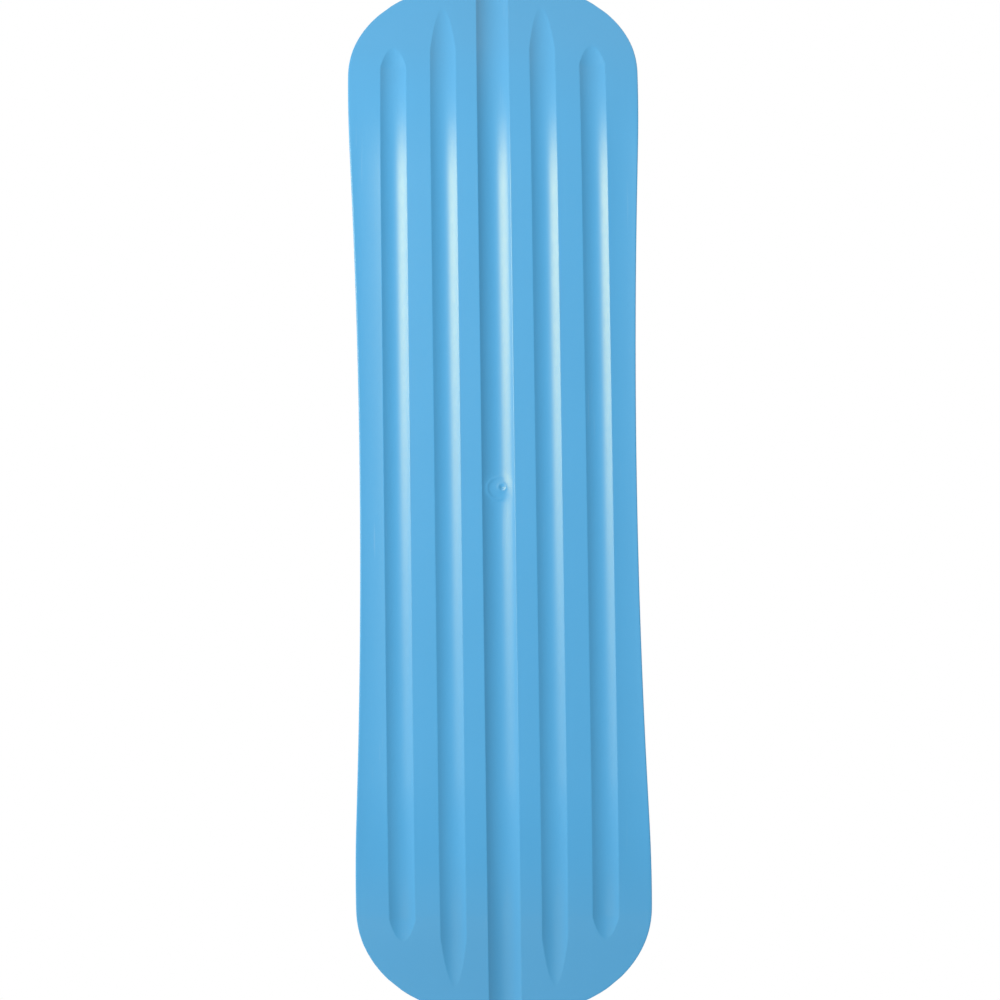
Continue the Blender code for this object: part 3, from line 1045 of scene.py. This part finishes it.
def board_material(board):
    """Satin polyethylene: smooth and faintly mottled on the base, with a moulded grain on the deck."""
    material, tree, shader = new_material("satin_polyethylene")
    place = blank_place(tree)
    low, high = [board.thickness - depth for depth in GRAIN_DEPTHS]
    deck = ranged(apart(place)[2], low, high, smooth=True)
    scuffs = scuffed(place, 700.0)
    tinted = mottled(place, finishes().board, 16.0, 0.05)["Color"]
    worn = mixed(scuffs * SCUFF_SHARE, tinted, SCUFF_BLUE)

    # The lamps below the one-way floor would otherwise throw the base's blue on it.
    bounced = wire(tree, "ShaderNodeLightPath", output="Is Diffuse Ray") * FAINT_BOUNCE
    feed(shader, "Base Color", mixed(bounced, worn, BOUNCED_BLUE))

    rough = ranged(noise(place, 260.0, 3.0), *CLOUDS, *BASE_ROUGHNESS)
    feed(shader, "Roughness", scuffs * SCUFFS_ROUGHER + (deck * DECK_ROUGHER + rough))
    orange_peel = noise(place, 90.0) * ORANGE_PEEL
    height = pores(place, 900.0, 1.2) * deck + (orange_peel + scuffs * SCUFF_DEPTH)
    bumped(shader, height, 0.35, 0.0002)
    shader.inputs["IOR"].default_value = 1.5
    shader.inputs["Specular IOR Level"].default_value = 0.95
    shader.inputs["Specular Tint"].default_value = SHEEN
    return material


def foam_material(top):
    """Closed-cell foam: a dull skin on top, and paler open cells where it is cut."""
    material, tree, shader = new_material("closed_cell_foam")
    place = blank_place(tree)
    low, high = [top - depth for depth in SKIN_DEPTHS]
    cut = ranged(apart(place)[2], low, high, 1.0, 0.0, smooth=True)
    tinted = mottled(place, finishes().foam, 45.0, 0.35)
    speckle = ranged(noise(place, 1500.0), 0.55, 0.75, 0.0, 0.35)
    speckled = mixed(speckle, tinted["Color"], FOAM_SPECKLE)
    feed(shader, "Base Color", mixed(cut * OPEN_SHARE, speckled, OPEN_CELLS))
    feed(shader, "Roughness", ranged(tinted["Clouds"], *CLOUDS, 0.78, 0.92))
    bumped(shader, pores(place, 1400.0, 1.6) * (cut * 0.8 + 1.0), 0.5, 0.00025)
    shader.inputs["Specular IOR Level"].default_value = 0.35
    return material


def film_material():
    """Off-white adhesive sheet, faintly cloudy."""
    material, tree, shader = new_material("adhesive_film")
    place = wire(tree, "ShaderNodeTexCoord", output="Object")
    tinted = mottled(place, finishes().film, 60.0, 0.12)
    feed(shader, "Base Color", tinted["Color"])
    feed(shader, "Roughness", ranged(tinted["Clouds"], *CLOUDS, 0.5, 0.65))
    bumped(shader, pores(place, 500.0, 0.6), 0.3, 0.0001)
    return material


# Stage

CAMERA_DISTANCE = 2.2
CAMERA_TILT = math.radians(4.910)
CAMERA_ROLL = math.radians(0.7748)
CAMERA_LENS = 118.07
CAMERA_SHIFT = (0.00169, -0.01499)
FLOOR_SIZE = 30.0
FLOOR_DROP = 0.0003
ROOM_HORIZON = (-0.1, 0.2)
ROOM_ABOVE = 1.0
ROOM_BELOW = 0.49
ROOM_SLOPE = (1.3, 1.5, 1.0)
ROOM_SPAN = (-1.5, 1.0)
ROOM_MIRRORED = 0.80


def make_camera():
    """Looks up at the running base, with the nose at the top of the picture."""
    data = bpy.data.cameras.new("camera")
    data.lens = CAMERA_LENS
    data.shift_x, data.shift_y = CAMERA_SHIFT
    item = new_object("camera", data)
    forward = Vector((0.0, math.sin(CAMERA_TILT), math.cos(CAMERA_TILT)))
    plumb = Vector((0.0, math.cos(CAMERA_TILT), -math.sin(CAMERA_TILT)))
    level = forward.cross(plumb)
    right = level * math.cos(CAMERA_ROLL) - plumb * math.sin(CAMERA_ROLL)
    up = level * math.sin(CAMERA_ROLL) + plumb * math.cos(CAMERA_ROLL)
    turn = Matrix((right, up, -forward)).transposed().to_4x4()
    item.matrix_world = Matrix.Translation(-CAMERA_DISTANCE * forward) @ turn
    bpy.context.scene.camera = item


# Each lamp's name, place, width, height and power, and whether the board mirrors it.
LAMPS = (
    ("base_softbox", (0.885, 0.449, -1.050), 0.951, 0.625, 16.2, True),
    ("base_fill", (0.535, -2.154, -1.152), 1.8, 1.8, 16.3, False),
    ("deck_softbox", (1.6, -1.2, 2.6), 1.6, 1.6, 16.0, True),
    ("deck_fill", (-2.2, 0.8, 1.6), 1.8, 1.8, 3.0, True),
)


def make_softbox(name, place, width, height, power, mirrored):
    """A rectangular lamp that faces the middle of the board, with its height along the board."""
    data = bpy.data.lights.new(name, "AREA")
    data.shape = "RECTANGLE"
    data.size, data.size_y = width, height
    data.energy = power
    item = new_object(name, data)
    ahead = -Vector(place).normalized()
    across = ahead.cross(Vector((0.0, 1.0, 0.0))).normalized()
    turn = Matrix((across, across.cross(ahead), -ahead)).transposed().to_4x4()
    item.matrix_world = Matrix.Translation(place) @ turn
    item.visible_camera = False
    item.visible_glossy = mirrored


def make_floor():
    """A plain floor that shows from above only, because the base that lies on it is looked at from below."""
    mesh = bpy.data.meshes.new("floor")
    half = FLOOR_SIZE / 2
    turns = ((-1, -1), (1, -1), (1, 1), (-1, 1))
    corners = [(x * half, y * half, -FLOOR_DROP) for x, y in turns]
    mesh.from_pydata(corners, [], [(0, 1, 2, 3)])
    floor = new_object("floor", mesh)
    material, tree, shader = new_material("plain_floor")
    shader.inputs["Base Color"].default_value = (*finishes().floor, 1.0)
    shader.inputs["Roughness"].default_value = 0.9
    shader.inputs["Specular IOR Level"].default_value = 0.0
    seen = wire(tree, "ShaderNodeLightPath", output="Is Camera Ray")
    behind = wire(tree, "ShaderNodeNewGeometry", output="Backfacing")
    clear = wire(tree, "ShaderNodeBsdfTransparent")
    feeds = {0: seen * (1.0 - behind), 1: clear, 2: Wire(shader.outputs[0])}
    either = wire(tree, "ShaderNodeMixShader", feeds)
    tree.links.new(either.socket, tree.nodes["Material Output"].inputs["Surface"])
    mesh.materials.append(material)


def make_world():
    """A white backdrop. What the board mirrors is brightest above it and towards the lamps."""
    world = bpy.data.worlds.new("studio")
    world.use_nodes = True
    tree = world.node_tree
    bpy.context.scene.world = world
    path = wires(tree, "ShaderNodeLightPath")
    way = wire(tree, "ShaderNodeTexCoord", output="Generated")
    lighting = ranged(apart(way)[2], *ROOM_HORIZON, ROOM_BELOW, ROOM_ABOVE, smooth=True)
    feeds = {0: way, 1: ROOM_SLOPE}
    towards = wire(tree, "ShaderNodeVectorMath", feeds, output="Value", operation="DOT_PRODUCT")
    mirrored_room = ranged(towards, *ROOM_SPAN, 0.0, ROOM_MIRRORED, smooth=True)
    pick = wire(tree, "ShaderNodeMix", {"Factor": path["Is Glossy Ray"], 2: lighting, 3: mirrored_room})
    background = tree.nodes["Background"]
    background.inputs["Color"].default_value = (1.0, 1.0, 1.0, 1.0)
    feed(background, "Strength", pick.math("MAXIMUM", path["Is Camera Ray"]))


class SNOWSKATE_OT_stage(bpy.types.Operator):
    """Set up the camera, the floor, the backdrop and the soft lamps"""

    bl_idname = "snowskate.stage"
    bl_label = "Stage"

    def execute(self, context):
        context.scene.view_settings.view_transform = "Standard"
        make_camera()
        make_floor()
        make_world()
        for lamp in LAMPS:
            make_softbox(*lamp)
        return {"FINISHED"}


class SNOWSKATE_PT_panel(bpy.types.Panel):
    """Lists the snowskate's pieces"""

    bl_label = "Snowskate"
    bl_space_type = "VIEW_3D"
    bl_region_type = "UI"
    bl_category = "Snowskate"

    def draw(self, context):
        for group in (*sizes(), finishes()):
            box = self.layout.box()
            for item in settings_of(group):
                box.prop(group, item.identifier)
        for operator in OPERATORS:
            self.layout.operator(operator.bl_idname)


GROUPS = {
    "snowskate_board": BoardSizes,
    "snowskate_grooves": GrooveSizes,
    "snowskate_pads": PadSizes,
    "snowskate_finishes": Finishes,
}
OPERATORS = (SNOWSKATE_OT_stage, SNOWSKATE_OT_deck, SNOWSKATE_OT_grip_pads, SNOWSKATE_OT_adhesive)


def register():
    for group in (*GROUPS.values(), *OPERATORS, SNOWSKATE_PT_panel):
        bpy.utils.register_class(group)
    for name, group in GROUPS.items():
        setattr(bpy.types.Scene, name, PointerProperty(type=group))


def unregister():
    for name in GROUPS:
        delattr(bpy.types.Scene, name)
    for group in reversed((*GROUPS.values(), *OPERATORS, SNOWSKATE_PT_panel)):
        bpy.utils.unregister_class(group)


def main():
    register()
    bpy.ops.snowskate.stage()
    bpy.ops.snowskate.deck()
    bpy.ops.snowskate.grip_pads()
    bpy.ops.snowskate.adhesive()


if __name__ == "__main__":
    main()
